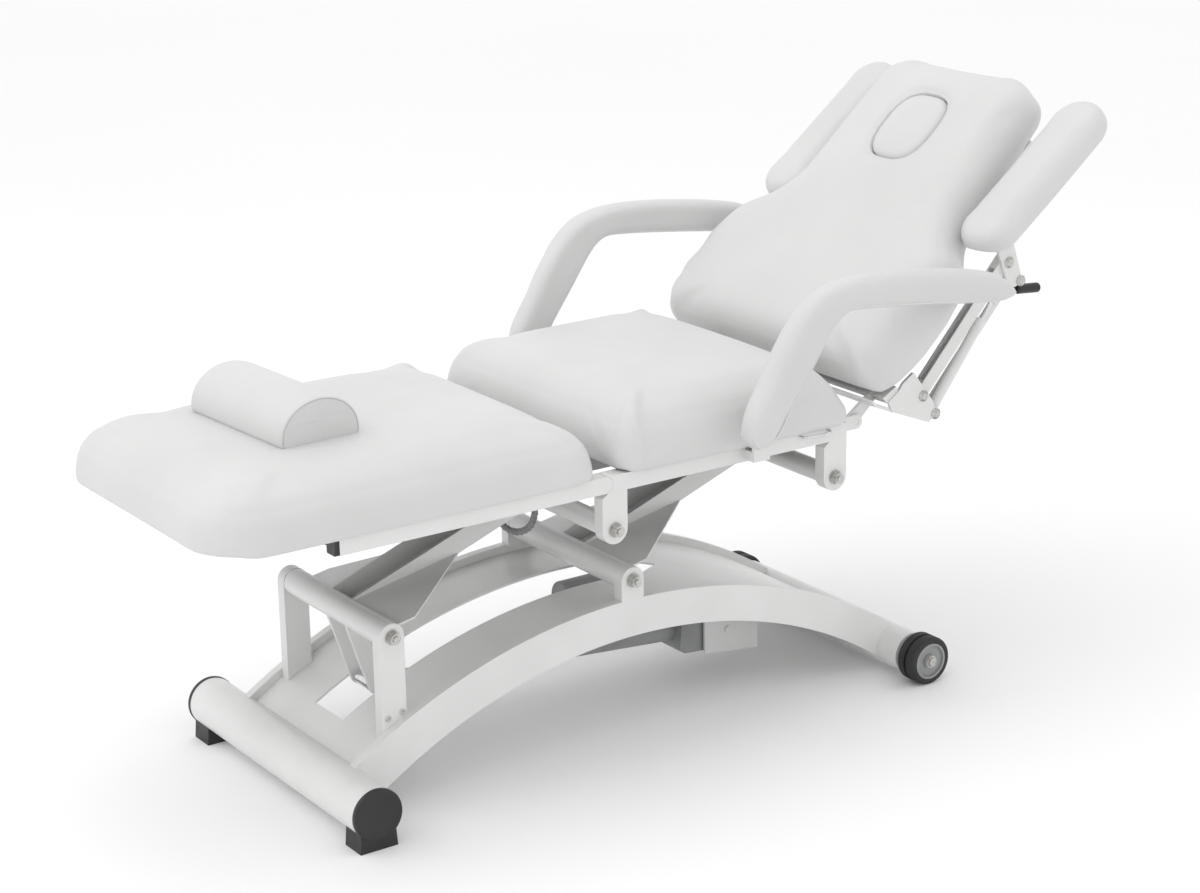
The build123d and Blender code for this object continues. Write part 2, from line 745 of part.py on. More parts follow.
with BuildPart() as back_pan:
    extrude(back_plan(pad_low - 11, 45, 8).sketch, amount=10)
    with BuildSketch(tilted(back_hinge, back_angle, 400)) as lower_end:
        with Locations((60, 5)):
            Rectangle(60, 60)
    extrude(lower_end.sketch, amount=800, mode=Mode.SUBTRACT)
save(back_pan, "back_pan")

lower_plate = [(496, 605), (521, 621), (569, 558), (578, 533), (560, 518), (471, 554), (461, 574), (485, 591)]
cross_bar = [(450, 583), (481, 601), (488, 590), (462, 571)]
end_sheet = [(424, 580), (433, 569), (474, 552), (477, 557), (436, 573), (427, 583)]
with BuildPart() as back_frame:
    plate(cross_bar, wing_y - 3, 2 * (wing_y - 3))
    plate(end_sheet, wing_y - 3, 2 * (wing_y - 3))
    for y_high in (wing_y, -wing_y + 6):
        plate(lower_plate, y_high, 6, 3)
        disc(wing_low1, 6.05, y_high + 1, 8, Mode.SUBTRACT)
        disc(wing_low2, 6.05, y_high + 1, 8, Mode.SUBTRACT)
    for y_high in (178, -150):
        with BuildSketch(tilted(back_hinge, back_angle, y_high)) as runner:
            with Locations((372, -9)):
                Rectangle(590, 26)
        extrude(runner.sketch, amount=28)
    for y_high in (250, -242):
        with BuildSketch(tilted(back_hinge, back_angle, y_high)) as tab:
            with BuildLine():
                Polyline((0, 13), (74, 4), (74, -12), (0, -13), close=True)
            make_face()
            Circle(13)
        extrude(tab.sketch, amount=8)
    disc(back_hinge, 6, rail_inner - 1, rail_inner - 243)
    disc(back_hinge, 6, -242, rail_inner - 243)
    for y_high in (24, -16):
        with BuildSketch(side(y_high)) as lever:
            with BuildLine():
                Polyline(
                    (466, 578),
                    (472, 560),
                    (back_pin[0] + 13, back_pin[1] - 4),
                    (back_pin[0], back_pin[1] - 13),
                    (back_pin[0] - 13, back_pin[1]),
                    (back_hinge[0] - 8, back_hinge[1] + 6),
                    close=True,
                )
            make_face()
        extrude(lever.sketch, amount=8)
    disc(back_pin, 5, 24, 48)
save(back_frame, "back_frame")

back_rod_z = back_hinge[1] - 54.5
back_motor_tail = (75, back_rod_z)
with BuildPart() as back_motor_unit:
    push_motor(back_motor_tail, 145, 1)
save(back_motor_unit, "back_motor_unit")

with BuildPart() as back_rod:
    push_rod(back_pin[0], back_rod_z, 170, -1, 12)
save(back_rod, "back_rod")

# ---- head wings: a parallel pair of links, a gas spring and a pad on each side ----
wing_length = hypot(wing_up1[0] - wing_low1[0], wing_up1[1] - wing_low1[1])
wing_angle = degrees(asin((wing_up1[1] - wing_low1[1]) / wing_length))
spring_top = (765, 775)
spring_length = hypot(spring_top[0] - wing_low2[0], spring_top[1] - wing_low2[1])
spring_angle = degrees(asin((spring_top[1] - wing_low2[1]) / spring_length))
spring_direction = (cos(radians(spring_angle)), 0, sin(radians(spring_angle)))
beam_outer_y, beam_width, beam_half_height = 283.4, 20, 13
link_outer_y, link_thick = 262.6, 5
spring_y, cylinder_r, spring_rod_r, cylinder_end = 273.2, 10, 4.5, 200
lever_at, lever_reach, grip_length, grip_r = 262, 106, 58, 9.5
pad_angle, pad_top, pad_length, pad_thick = 38, (780.8, 970.8), 370, 60
pad_inner_y, pad_outer_y = 238, 345

with BuildPart() as wing_beam_right:
    with BuildSketch(tilted(wing_low1, wing_angle, -beam_outer_y + beam_width)) as bar:
        with Locations((wing_length / 2, 0)):
            SlotCenterToCenter(wing_length, 2 * beam_half_height)
    extrude(bar.sketch, amount=beam_width)
    with BuildSketch(tilted(wing_low1, wing_angle, -beam_outer_y + beam_width - 3)) as trough:
        with Locations((wing_length / 2, 3)):
            Rectangle(wing_length - 50, 2 * beam_half_height)
    extrude(trough.sketch, amount=beam_width - 6, mode=Mode.SUBTRACT)
    disc(wing_low1, 6.05, -beam_outer_y + beam_width, beam_width, Mode.SUBTRACT)
    disc(wing_up1, 6.05, -beam_outer_y + beam_width, beam_width, Mode.SUBTRACT)

with BuildPart() as wing_link_right:
    with BuildSketch(tilted(wing_low2, wing_angle, -link_outer_y + link_thick)) as bar:
        with Locations((wing_length / 2, 0)):
            SlotCenterToCenter(wing_length, 20)
    extrude(bar.sketch, amount=link_thick)
    disc(wing_low2, 6.05, -link_outer_y + link_thick, link_thick, Mode.SUBTRACT)
    disc(wing_up2, 6.05, -link_outer_y + link_thick, link_thick, Mode.SUBTRACT)


def spring_plane(distance):
    """Plane across the gas spring at a distance from its lower pivot."""
    point = along(wing_low2, spring_angle, distance)
    return Plane(origin=(point[0], -spring_y, point[1]), x_dir=(0, 1, 0), z_dir=spring_direction)


with BuildPart() as gas_cylinder_right:
    with BuildSketch(spring_plane(9)) as section:
        Circle(cylinder_r)
    extrude(section.sketch, amount=cylinder_end - 9)
    disc(wing_low2, 11, -spring_y + cylinder_r, 2 * cylinder_r)
    with BuildSketch(spring_plane(30)) as bore:
        Circle(spring_rod_r + 0.3)
    extrude(bore.sketch, amount=cylinder_end - 30, mode=Mode.SUBTRACT)
    disc(wing_low2, 6.05, -spring_y + cylinder_r + 1, 2 * cylinder_r + 2, Mode.SUBTRACT)

with BuildPart() as gas_rod_right:
    with BuildSketch(spring_plane(cylinder_end - 60)) as section:
        Circle(spring_rod_r)
    extrude(section.sketch, amount=100)
    with BuildSketch(tilted(wing_low2, spring_angle, -spring_y + 8)) as fork:
        with Locations(((238 + spring_length) / 2, 0)):
            Rectangle(spring_length - 238, 15)
        with Locations((spring_length, 0)):
            Circle(11.5)
            Circle(7.5, mode=Mode.SUBTRACT)
    extrude(fork.sketch, amount=16)
    with BuildSketch(tilted(wing_low2, spring_angle, -spring_y + 4.5)) as slot:
        with Locations((262, 0)):
            Rectangle(34, 30)
    extrude(slot.sketch, amount=9, mode=Mode.SUBTRACT)
    disc(along(wing_low2, spring_angle, lever_at), 3, -spring_y + 8, 16)

lever_pivot = along(wing_low2, spring_angle, lever_at)
with BuildPart() as release_lever_right:
    with BuildSketch(tilted(lever_pivot, -5, -spring_y + 4)) as cam:
        with Locations((7, 0)):
            SlotCenterToCenter(14, 12)
        Circle(3.05, mode=Mode.SUBTRACT)
    extrude(cam.sketch, amount=8)
    lever_direction = (cos(radians(-5)), 0, sin(radians(-5)))
    shaft = Plane(origin=(lever_pivot[0], -spring_y, lever_pivot[1]), x_dir=(0, 1, 0), z_dir=lever_direction)
    with BuildSketch(shaft.offset(16)) as section:
        Circle(3)
    extrude(section.sketch, amount=lever_reach - grip_length - 10)
    with BuildSketch(shaft.offset(lever_reach - grip_length)) as section:
        Circle(grip_r)
    extrude(section.sketch, amount=grip_length)
    fillet(release_lever_right.edges().filter_by(lambda edge: edge.geom_type == GeomType.CIRCLE
                                                 and edge.radius > 9), 5)

with BuildPart() as wing_plate_right:
    pad_under = along(pad_top, pad_angle, 0, -pad_thick)
    plate(
        [
            along(pad_under, pad_angle, -134, -1),
            along(pad_under, pad_angle, -90, -1),
            (786, 752),
            (766, 745),
            (748, 756),
        ],
        -wing_y + 6,
        6,
    )
    with BuildSketch(top_of(pad_under, pad_angle, -6)) as flange:
        with Locations((-72, -(wing_y + 246) / 2)):
            Rectangle(104, wing_y - 246)
    extrude(flange.sketch, amount=5)
    disc(wing_up1, 6, -beam_outer_y + beam_width + 0.4, 30)
    disc(wing_up2, 6, -link_outer_y + link_thick + 1, 38)
    disc(spring_top, 4, -spring_y + 9, 20)

with BuildPart() as wing_pad_right:
    with BuildSketch(top_of(pad_top, pad_angle, -pad_thick)) as stadium:
        with Locations((0, -(pad_inner_y + pad_outer_y) / 2)):
            RectangleRounded(pad_length, pad_outer_y - pad_inner_y, 52)
    extrude(stadium.sketch, amount=pad_thick)
    # The lower end is rounded underneath, which leaves room for the beam to fold.
    with BuildSketch(tilted(pad_top, pad_angle, -pad_inner_y)) as heel:
        with BuildLine():
            Polyline((-200, -22), (-134, -60), (-134, -70), (-200, -70), close=True)
        make_face()
    extrude(heel.sketch, amount=pad_outer_y - pad_inner_y, mode=Mode.SUBTRACT)

for piece, label in (
    (wing_beam_right, "wing_beam"),
    (wing_link_right, "wing_link"),
    (gas_cylinder_right, "gas_cylinder"),
    (gas_rod_right, "gas_rod"),
    (release_lever_right, "release_lever"),
    (wing_plate_right, "wing_plate"),
    (wing_pad_right, "wing_pad"),
):
    save(piece, label + "_right")
    save(flipped(piece), label + "_left")

# ---- armrests: they lift off upwards ----
armrest_inner_y, armrest_outer_y = 346, 400
armrest_top = [(67, 596), (72, 640), (106, 700), (140, 757), (179, 806), (218, 836), (289, 852),
               (379, 851), (472, 841), (566, 826), (640, 806), (684, 766)]
armrest_under = [(586, 758), (444, 774), (343, 782), (296, 765), (256, 725), (186, 640), (120, 577), (85, 575)]
with BuildPart() as armrest_right:
    plate(armrest_top + armrest_under, -armrest_inner_y, armrest_outer_y - armrest_inner_y)
    plate([(132, 592), (160, 592), (160, 630), (132, 630)], -319, 27)
save(armrest_right, "armrest_right")
save(flipped(armrest_right), "armrest_left")

# ---- loose half-round bolster on the leg section ----
bolster_centre, bolster_yaw = (-632, 28), 3.5
bolster_length, bolster_width, bolster_height, bolster_base = 300, 157, 88, 653
with BuildPart() as bolster:
    lengthwise = (sin(radians(bolster_yaw)), -cos(radians(bolster_yaw)), 0)
    end = (
        bolster_centre[0] - lengthwise[0] * bolster_length / 2,
        bolster_centre[1] - lengthwise[1] * bolster_length / 2,
        bolster_base,
    )
    widthwise = (cos(radians(bolster_yaw)), sin(radians(bolster_yaw)), 0)
    with BuildSketch(Plane(origin=end, x_dir=widthwise, z_dir=lengthwise)) as section:
        Ellipse(bolster_width / 2, bolster_height)
        with Locations((0, bolster_height)):
            Rectangle(bolster_width, 2 * bolster_height, mode=Mode.INTERSECT)
    extrude(section.sketch, amount=bolster_length)
save(bolster, "bolster")
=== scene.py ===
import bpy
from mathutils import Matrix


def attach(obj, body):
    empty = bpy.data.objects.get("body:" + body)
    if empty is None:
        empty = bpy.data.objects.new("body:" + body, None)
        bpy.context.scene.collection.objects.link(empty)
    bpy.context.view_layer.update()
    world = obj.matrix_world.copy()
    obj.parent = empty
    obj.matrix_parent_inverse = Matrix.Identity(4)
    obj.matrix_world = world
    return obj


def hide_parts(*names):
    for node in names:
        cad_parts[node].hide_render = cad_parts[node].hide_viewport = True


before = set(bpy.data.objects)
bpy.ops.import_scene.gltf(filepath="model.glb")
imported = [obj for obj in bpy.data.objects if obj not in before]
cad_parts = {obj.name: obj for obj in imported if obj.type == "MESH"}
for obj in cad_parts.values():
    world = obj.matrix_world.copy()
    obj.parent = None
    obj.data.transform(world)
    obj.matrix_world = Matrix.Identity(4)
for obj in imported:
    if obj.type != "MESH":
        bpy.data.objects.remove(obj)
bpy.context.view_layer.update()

import math

import bmesh
import bpy
import numpy as np
from mathutils import Matrix, Vector

# Facial treatment bed. Positions are written in the millimetres of part.py's drawing, whose
# origin lies middle_x from the middle of the bed's box, and at() turns them into the frame.
middle_x = 16.8
back_hinge, back_angle = (409, 540), 42
wing_pad_angle, wing_pad_top = 38, (780.8, 970.8)


def at(x, y, z):
    """A point of part.py's drawing, in the frame, in metres."""
    return Vector(((x - middle_x) / 1000, y / 1000, z / 1000))


def slanted(origin, angle, across=0.0):
    """Matrix from local (along the slope, towards +Y, off the slope), in metres, to the frame."""
    turn = math.radians(angle)
    start = at(origin[0], across, origin[1])
    return Matrix(
        (
            (math.cos(turn), 0, -math.sin(turn), start.x),
            (0, 1, 0, start.y),
            (math.sin(turn), 0, math.cos(turn), start.z),
            (0, 0, 0, 1),
        )
    )


# ---- camera ----
yaw, pitch, roll = 0.5992, -0.3047, -0.0159
forward = Vector((math.sin(yaw) * math.cos(pitch), math.cos(yaw) * math.cos(pitch), math.sin(pitch)))
level_right = Vector((math.cos(yaw), -math.sin(yaw), 0))
level_up = level_right.cross(forward)
right = level_right * math.cos(roll) + level_up * math.sin(roll)
up = level_up * math.cos(roll) - level_right * math.sin(roll)
camera = bpy.data.objects.new("camera", bpy.data.cameras.new("camera"))
camera.matrix_world = Matrix((
    (right.x, up.x, -forward.x, -2.6526),
    (right.y, up.y, -forward.y, -3.8845),
    (right.z, up.z, -forward.z, 1.9815),
    (0, 0, 0, 1),
))
camera.data.sensor_width = 36
camera.data.lens = 80.55
camera.data.clip_end = 60
bpy.context.collection.objects.link(camera)
bpy.context.scene.camera = camera


# ---- materials ----
def tree_of(name):
    """A new material with its Principled shader, its node tree and object coordinates."""
    made = bpy.data.materials.new(name)
    made.use_nodes = True
    nodes, links = made.node_tree.nodes, made.node_tree.links
    shader = nodes["Principled BSDF"]
    coordinates = nodes.new("ShaderNodeTexCoord").outputs["Object"]
    return made, nodes, links, shader, coordinates


def noise(nodes, links, coordinates, scale, detail=4.0):
    """Noise texture output at a scale in bumps per metre."""
    texture = nodes.new("ShaderNodeTexNoise")
    texture.inputs["Scale"].default_value = scale
    texture.inputs["Detail"].default_value = detail
    links.new(coordinates, texture.inputs["Vector"])
    return texture.outputs["Fac"]


def ramp(nodes, links, source, low, high):
    """Colour ramp between two colours over the middle of the noise's range."""
    mixed = nodes.new("ShaderNodeValToRGB")
    mixed.color_ramp.elements[0].position = 0.3
    mixed.color_ramp.elements[1].position = 0.7
    mixed.color_ramp.elements[0].color = (*low, 1)
    mixed.color_ramp.elements[1].color = (*high, 1)
    links.new(source, mixed.inputs["Fac"])
    return mixed.outputs["Color"]


def spread(nodes, links, source, low, high):
    """A number that follows the noise from low to high."""
    mapped = nodes.new("ShaderNodeMapRange")
    mapped.inputs["From Min"].default_value = 0.3
    mapped.inputs["From Max"].default_value = 0.7
    mapped.inputs["To Min"].default_value = low
    mapped.inputs["To Max"].default_value = high
    links.new(source, mapped.inputs["Value"])
    return mapped.outputs["Result"]


def relief(nodes, links, height, depth, strength, under=None):
    """Bump from a height, depth in metres, on top of another bump where one is given."""
    bump = nodes.new("ShaderNodeBump")
    bump.inputs["Distance"].default_value = depth
    bump.inputs["Strength"].default_value = strength
    links.new(height, bump.inputs["Height"])
    if under is not None:
        links.new(under, bump.inputs["Normal"])
    return bump.outputs["Normal"]


def finish(name, low, high, rough, grain, depth, strength, metallic=0.0, coat=0.0, specular=0.5):
    """Paint, plastic or metal: mottled colour and gloss, and fine relief."""
    made, nodes, links, shader, coordinates = tree_of(name)
    broad = noise(nodes, links, coordinates, 9)
    fine = noise(nodes, links, coordinates, grain, 6)
    links.new(ramp(nodes, links, broad, low, high), shader.inputs["Base Color"])
    gloss = noise(nodes, links, coordinates, 35)
    links.new(spread(nodes, links, gloss, *rough), shader.inputs["Roughness"])
    shader.inputs["Metallic"].default_value = metallic
    shader.inputs["Coat Weight"].default_value = coat
    shader.inputs["Specular IOR Level"].default_value = specular
    links.new(relief(nodes, links, fine, depth, strength), shader.inputs["Normal"])
    return made


def leatherette(name, low, high, crease):
    """Coated fabric: pebbled grain of small cells, slow tone changes and faint creases."""
    made, nodes, links, shader, coordinates = tree_of(name)
    broad = noise(nodes, links, coordinates, 5, 3)
    links.new(ramp(nodes, links, broad, low, high), shader.inputs["Base Color"])
    gloss = noise(nodes, links, coordinates, 22)
    links.new(spread(nodes, links, gloss, 0.42, 0.54), shader.inputs["Roughness"])
    shader.inputs["Specular IOR Level"].default_value = 0.42
    shader.inputs["Sheen Weight"].default_value = 0.08
    shader.inputs["Sheen Roughness"].default_value = 0.4
    cells = nodes.new("ShaderNodeTexVoronoi")
    cells.feature = "DISTANCE_TO_EDGE"
    cells.inputs["Scale"].default_value = 750
    warped = nodes.new("ShaderNodeVectorMath")
    warped.operation = "MULTIPLY_ADD"
    warped.inputs[1].default_value = (1, 1, 1)
    ripple = nodes.new("ShaderNodeTexNoise")
    ripple.inputs["Scale"].default_value = 300
    links.new(coordinates, ripple.inputs["Vector"])
    scaled = nodes.new("ShaderNodeVectorMath")
    scaled.operation = "SCALE"
    scaled.inputs["Scale"].default_value = 0.0012
    links.new(ripple.outputs["Color"], scaled.inputs[0])
    links.new(coordinates, warped.inputs[0])
    links.new(scaled.outputs["Vector"], warped.inputs[2])
    links.new(warped.outputs["Vector"], cells.inputs["Vector"])
    grain = relief(nodes, links, cells.outputs["Distance"], 0.0006, 0.35)
    soft = relief(nodes, links, noise(nodes, links, coordinates, 26, 2), 0.004, crease, grain)
    links.new(soft, shader.inputs["Normal"])
    return made


def brushed(name, low, high, rough, stretch):
    """Bright metal with fine lines round or along the part."""
    made, nodes, links, shader, coordinates = tree_of(name)
    mapping = nodes.new("ShaderNodeMapping")
    mapping.inputs["Scale"].default_value = stretch
    links.new(coordinates, mapping.inputs["Vector"])
    lines = noise(nodes, links, mapping.outputs["Vector"], 1, 5)
    links.new(ramp(nodes, links, lines, low, high), shader.inputs["Base Color"])
    links.new(spread(nodes, links, lines, *rough), shader.inputs["Roughness"])
    shader.inputs["Metallic"].default_value = 1.0
    links.new(relief(nodes, links, lines, 0.0002, 0.2), shader.inputs["Normal"])
    return made


finishes = {
    "white_leatherette": leatherette(
        "white_leatherette", (0.625, 0.625, 0.622), (0.66, 0.66, 0.657), 0.05
    ),
    "white_paint": finish(
        "white_paint", (0.71, 0.713, 0.705), (0.75, 0.752, 0.745), (0.30, 0.42), 620, 0.0004, 0.22,
        coat=0.15,
    ),
    "black_plastic": finish(
        "black_plastic", (0.010, 0.010, 0.011), (0.022, 0.022, 0.024), (0.38, 0.55), 1400, 0.0003, 0.35
    ),
    "grip_plastic": finish(
        "grip_plastic", (0.008, 0.008, 0.009), (0.020, 0.020, 0.021), (0.28, 0.42), 900, 0.0003, 0.3
    ),
    "grey_plastic": finish(
        "grey_plastic", (0.24, 0.245, 0.245), (0.33, 0.335, 0.335), (0.38, 0.55), 1100, 0.0003, 0.3
    ),
    "board": finish("board", (0.050, 0.048, 0.045), (0.080, 0.076, 0.070), (0.75, 0.9), 420, 0.0009, 0.5),
    "zinc": brushed("zinc", (0.42, 0.42, 0.41), (0.68, 0.67, 0.64), (0.26, 0.42), (260, 30, 260)),
    "chrome": brushed("chrome", (0.62, 0.63, 0.64), (0.80, 0.81, 0.82), (0.06, 0.16), (40, 260, 40)),
    "tyre_rubber": finish(
        "tyre_rubber", (0.016, 0.016, 0.017), (0.034, 0.034, 0.035), (0.62, 0.82), 700, 0.0006, 0.45
    ),
}
# Finish of the bolster's seam lines: a darker copy of the white leatherette, painted shadow along the seam
# groove.
finishes["seam_shade"] = leatherette("seam_shade", (0.42, 0.42, 0.42), (0.50, 0.50, 0.50), 0.02)
# Finish of the armrests' piping: a lighter copy of the white leatherette, painted highlight along the
# beads.
finishes["piping"] = leatherette("piping", (0.66, 0.66, 0.657), (0.71, 0.71, 0.707), 0.02)

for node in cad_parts.values():
    for slot in node.material_slots:
        slot.material = finishes[slot.material.name.split(".")[0]]


# ---- tools for the pieces ----
subdivided = ("SUBSURF", {"levels": 1, "render_levels": 1})


def piece(name, mesh, finish_name, body, smooth=True):
    """A finished mesh as a piece that rides on a body."""
    made = bpy.data.objects.new(name, mesh)
    bpy.context.collection.objects.link(made)
    made.data.materials.clear()
    made.data.materials.append(finishes[finish_name])
    for polygon in made.data.polygons:
        polygon.use_smooth = smooth
    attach(made, body)
    return made


def applied(mesh, *modifiers):
    """The mesh after modifiers, each given as a type and its settings."""
    holder = bpy.data.objects.new("holder", mesh)
    bpy.context.collection.objects.link(holder)
    for kind, settings in modifiers:
        modifier = holder.modifiers.new(kind, kind)
        for key, value in settings.items():
            setattr(modifier, key, value)
    graph = bpy.context.evaluated_depsgraph_get()
    result = bpy.data.meshes.new_from_object(holder.evaluated_get(graph))
    bpy.data.objects.remove(holder)
    return result


def points_of(mesh):
    """A mesh's points as rows of x, y and z."""
    flat = np.empty(len(mesh.vertices) * 3)
    mesh.vertices.foreach_get("co", flat)
    return flat.reshape(-1, 3)


def skin(shape, rings):
    """Joins each ring of vertices to the next with four-sided faces."""
    for ring, after in zip(rings, rings[1:]):
        for k in range(len(ring)):
            following = (k + 1) % len(ring)
            shape.faces.new((ring[k], ring[following], after[following], after[k]))


def mesh_of(shape, name):
    """Closes a bmesh and hands over its mesh."""
    mesh = bpy.data.meshes.new(name)
    shape.to_mesh(mesh)
    shape.free()
    return mesh


def lathe(profile, origin, direction, segments=24):
    """Mesh turned about a line: profile holds (distance along it, radius) pairs in metres."""
    axis = Vector(direction).normalized()
    first = axis.orthogonal().normalized()
    second = axis.cross(first)
    shape = bmesh.new()
    rings = []
    for along, radius in profile:
        turn = [2 * math.pi * k / segments for k in range(segments)]
        rings.append([
            shape.verts.new(origin + axis * along + (first * math.cos(a) + second * math.sin(a)) * radius)
            for a in turn
        ])
    skin(shape, rings)
    shape.faces.new(list(reversed(rings[0])))
    shape.faces.new(rings[-1])
    bmesh.ops.recalc_face_normals(shape, faces=shape.faces)
    return mesh_of(shape, "lathe")


def wire(name, points, radius, finish_name, body, cyclic=False):
    """Round wire or piping on a smooth curve through the points."""
    line = bpy.data.curves.new(name, "CURVE")
    line.dimensions = "3D"
    line.bevel_depth = radius
    line.bevel_resolution = 3
    spline = line.splines.new("BEZIER")
    spline.bezier_points.add(len(points) - 1)
    for knot, point in zip(spline.bezier_points, points):
        knot.co = point
        knot.handle_left_type = "AUTO"
        knot.handle_right_type = "AUTO"
    spline.use_cyclic_u = cyclic
    line.use_fill_caps = True
    holder = bpy.data.objects.new("line", line)
    bpy.context.collection.objects.link(holder)
    graph = bpy.context.evaluated_depsgraph_get()
    mesh = bpy.data.meshes.new_from_object(holder.evaluated_get(graph))
    bpy.data.objects.remove(holder)
    return piece(name, mesh, finish_name, body)


def rounded_path(corners, radii, steps=10):
    """Closed outline with each corner rounded to its radius, as dense points."""
    path = []
    count = len(corners)
    for k in range(count):
        here = Vector(corners[k])
        before = (Vector(corners[k - 1]) - here).normalized()
        after = (Vector(corners[(k + 1) % count]) - here).normalized()
        half = math.acos(max(-1, min(1, before.dot(after)))) / 2
        if radii[k] <= 0 or half > math.radians(89):
            path.append(here)
            continue
        reach = radii[k] / math.tan(half)
        centre = here + (before + after).normalized() * radii[k] / math.sin(half)
        start, end = here + before * reach - centre, here + after * reach - centre
        for i in range(steps + 1):
            mixed = start.lerp(end, i / steps)
            path.append(centre + mixed.normalized() * radii[k])
    return path


def smooth_path(points, steps=6):
    """Closed smooth outline through the points, as dense points."""
    count = len(points)
    path = []
    for k in range(count):
        p0, p1, p2, p3 = (Vector(points[(k + i - 1) % count]) for i in range(4))
        for i in range(steps):
            t = i / steps
            bend = (2 * p0 - 5 * p1 + 4 * p2 - p3) * t * t
            path.append(0.5 * (2 * p1 + (p2 - p0) * t + bend + (3 * p1 - p0 - 3 * p2 + p3) * t ** 3))
    return path


def edge_distance(points, outline):
    """Each point's distance to the outline and the direction that leads inwards from it."""
    starts = np.array([tuple(p)[:2] for p in outline])
    runs = np.roll(starts, -1, axis=0) - starts
    turning = np.sum(starts[:, 0] * np.roll(starts[:, 1], -1) - np.roll(starts[:, 0], -1) * starts[:, 1])
    inward = np.stack([-runs[:, 1], runs[:, 0]], 1) * math.copysign(1, turning)
    inward /= np.linalg.norm(inward, axis=1)[:, None] + 1e-12
    nearest = np.full(len(points), np.inf)
    direction = np.zeros((len(points), 2))
    for start, run, normal in zip(starts, runs, inward):
        length = run @ run
        if length < 1e-12:
            continue
        share = np.clip(((points - start) @ run) / length, 0, 1)
        gap = points - start - share[:, None] * run
        distance = np.linalg.norm(gap, axis=1)
        closer = distance < nearest
        nearest[closer] = distance[closer]
        far = distance[closer] > 0.003
        straight_in = gap[closer] / (distance[closer][:, None] + 1e-12)
        direction[closer] = np.where(far[:, None], straight_in, normal)
    return nearest, direction


def block(outline, low, high, voxel):
    """Closed block on an outline, remeshed into small even faces."""
    shape = bmesh.new()
    base = [shape.verts.new((p[0], p[1], low)) for p in outline]
    face = shape.faces.new(base)
    bmesh.ops.triangulate(shape, faces=[face])
    raised = bmesh.ops.extrude_face_region(shape, geom=list(shape.faces))
    tops = [item for item in raised["geom"] if isinstance(item, bmesh.types.BMVert)]
    bmesh.ops.translate(shape, verts=tops, vec=(0, 0, high - low))
    bmesh.ops.recalc_face_normals(shape, faces=shape.faces)
    return applied(mesh_of(shape, "block"), ("REMESH", {"mode": "VOXEL", "voxel_size": voxel}))


def round_over(across, level, height, reach, power):
    """Moves a point of a square edge onto a superellipse edge: across and level after the move."""
    u = np.clip((reach - across) / reach, 0, 1)
    v = np.clip(level / height, 0, 1)
    largest = np.maximum(u, v)
    norm = (u ** power + v ** power) ** (1 / power) + 1e-9
    return reach * (1 - u * largest / norm), height * v * largest / norm


def puffed(mesh, fixed, cap, frames=20):
    """Cloth blown up by pressure, with the fixed vertices held and each move capped."""
    holder = bpy.data.objects.new("cloth", mesh)
    bpy.context.collection.objects.link(holder)
    group = holder.vertex_groups.new(name="held")
    group.add([int(i) for i in np.nonzero(fixed)[0]], 1.0, "REPLACE")
    modifier = holder.modifiers.new("Cloth", "CLOTH")
    modifier.settings.use_pressure = True
    modifier.settings.uniform_pressure_force = 4
    modifier.settings.effector_weights.gravity = 0
    modifier.settings.vertex_group_mass = "held"
    modifier.settings.quality = 4
    modifier.point_cache.frame_start = 1
    modifier.point_cache.frame_end = frames
    for step in range(1, frames + 1):
        bpy.context.scene.frame_set(step)
    graph = bpy.context.evaluated_depsgraph_get()
    result = bpy.data.meshes.new_from_object(holder.evaluated_get(graph))
    start = points_of(mesh)
    move = points_of(result) - start
    size = np.linalg.norm(move, axis=1)[:, None] + 1e-9
    capped = start + move / size * cap * np.tanh(size / cap)
    result.vertices.foreach_set("co", capped.ravel())
    result.update()
    bpy.data.objects.remove(holder)
    bpy.context.scene.frame_set(1)
    return result


def cushion(outline, low, widest, high, upper_reach, lower_reach, cap, voxel,
            crown=0.0, power=2.2, shape=None):
    """Padded form on an outline, rounded over its edges, crowned on top and then blown up as cloth.

    It is widest at one height, between low and high. The two reaches are how far in from the
    outline each edge's rounding starts, and cap is the most that the cloth may move.
    """
    mesh = block(outline, low, high, voxel)
    points = points_of(mesh)
    distance, inward = edge_distance(points[:, :2], outline)
    above = points[:, 2] >= widest
    upper, raised = round_over(distance, points[:, 2] - widest, high - widest, upper_reach, power)
    lower, dropped = round_over(distance, widest - points[:, 2], widest - low, lower_reach, power)
    moved = np.where(above, np.where(distance < upper_reach, upper, distance),
                     np.where(distance < lower_reach, lower, distance))
    points[:, :2] += inward * (moved - distance)[:, None]
    points[:, 2] = np.where(
        above,
        widest + np.where(distance < upper_reach, raised, points[:, 2] - widest),
        widest - np.where(distance < lower_reach, dropped, widest - points[:, 2]),
    )
    level = np.clip((points[:, 2] - widest) / (high - widest), 0, 1)
    points[:, 2] += crown * level * (1 - (1 - np.clip(distance / 0.22, 0, 1)) ** 2)
    if shape is not None:
        points = shape(points)
    mesh.vertices.foreach_set("co", points.ravel())
    mesh.update()
    mesh = applied(mesh, ("SMOOTH", {"factor": 0.5, "iterations": 6}))
    if cap > 0:
        mesh = puffed(mesh, points_of(mesh)[:, 2] < low + 0.003, cap)
        mesh = applied(mesh, ("SMOOTH", {"factor": 0.5, "iterations": 4}))
    return applied(mesh, subdivided)


def moved_mesh(mesh, matrix):
    """The mesh carried into the frame."""
    mesh.transform(matrix)
    mesh.update()
    return mesh


def mirrored(mesh):
    """The same mesh on the other side of the bed."""
    other = mesh.copy()
    other.transform(Matrix.Diagonal((1, -1, 1, 1)))
    other.flip_normals()
    return other


# ---- leg and seat cushions ----
cushion_low = 0.5565


def over_rails(points):
    """Lets a cushion's sides hang a little past the rails' top edges."""
    beside = np.clip((np.abs(points[:, 1]) - 0.290) / 0.005, 0, 1)
    low = np.clip((0.576 - points[:, 2]) / 0.018, 0, 1)
    points[:, 2] -= 0.007 * beside * low
    return points


